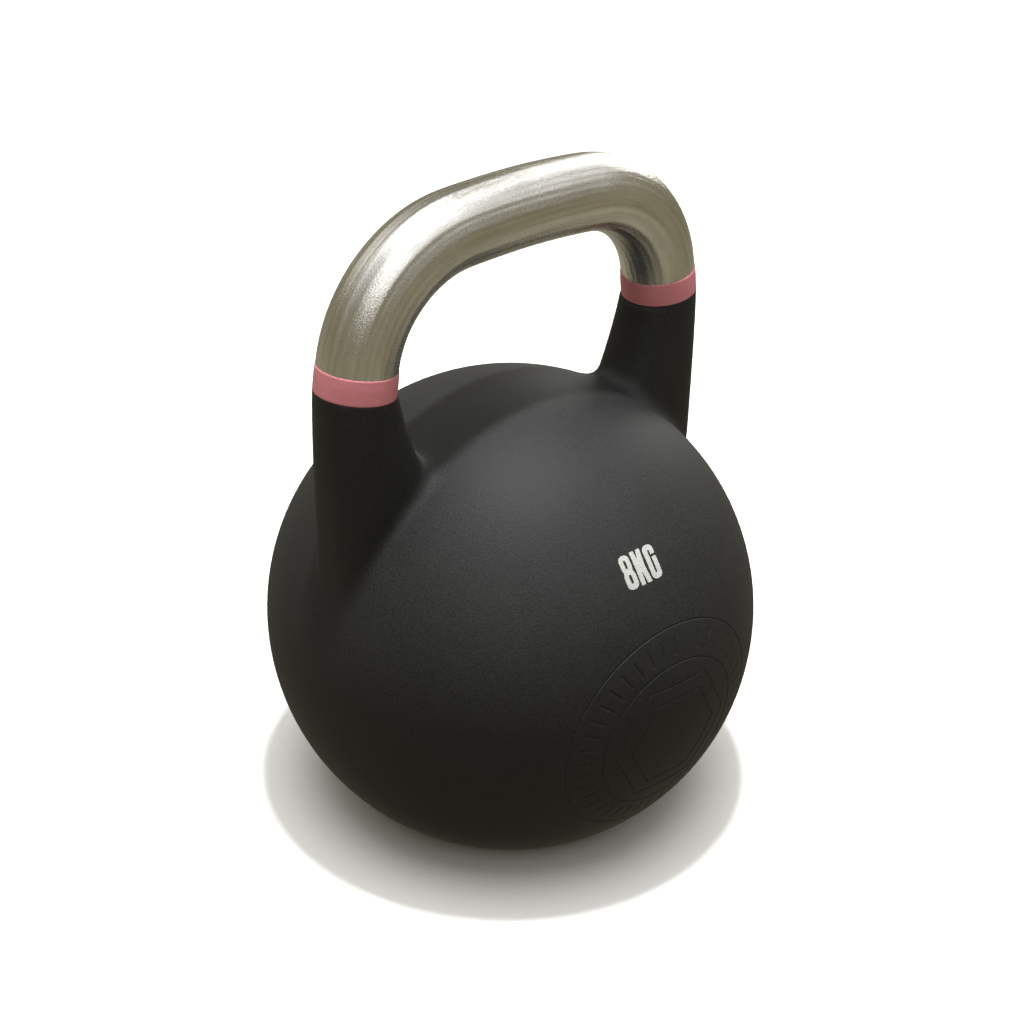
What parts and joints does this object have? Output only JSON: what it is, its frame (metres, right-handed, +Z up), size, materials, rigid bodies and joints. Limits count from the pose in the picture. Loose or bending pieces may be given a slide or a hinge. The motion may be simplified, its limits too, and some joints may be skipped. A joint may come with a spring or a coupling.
{
  "type": "kettlebell",
  "caption": "Competition-style kettlebell: hollow cast ball with a flat base, two flared horns, a bent satin steel grip, pink colour bands and ballast inside.",
  "frame": {"origin": "on the floor, under the middle of the ball, in the plane of the flat base", "axes": "+Z up, X along the grip bar from horn to horn, -Y towards the printed face"},
  "size_m": [0.21, 0.21, 0.28],
  "materials": {
    "powder_coat": "matte charcoal powder coat with a fine texture over cast iron",
    "satin_steel": "satin polished bare steel",
    "band_pink": "matte muted pink",
    "zinc_plate": "zinc plated steel",
    "zinc_fixing": "zinc plated steel",
    "ballast_iron": "bare cast iron",
    "black_rubber": "matte black rubber",
    "brass_plug": "turned brass"
  },
  "bodies": {
    "root": {"ball_shell": "powder_coat", "grip_handle": "satin_steel", "left_colour_band": "band_pink", "right_colour_band": "band_pink", "base_plate": "zinc_plate", "base_gasket": "black_rubber", "base_screw_1": "zinc_fixing", "base_screw_2": "zinc_fixing", "base_screw_3": "zinc_fixing", "base_screw_4": "zinc_fixing", "base_screw_5": "zinc_fixing", "base_screw_6": "zinc_fixing", "calibration_plug": "brass_plug", "plug_seal": "black_rubber", "core_stud": "zinc_fixing", "crown_bush": "black_rubber", "spacer_tube": "zinc_fixing", "upper_washer": "zinc_fixing", "ballast_disc_1": "ballast_iron", "ballast_disc_2": "ballast_iron", "ballast_disc_3": "ballast_iron", "ballast_disc_4": "ballast_iron", "lower_washer": "zinc_fixing", "clamp_nut": "zinc_fixing", "lock_nut": "zinc_fixing"}
  },
  "joints": []
}
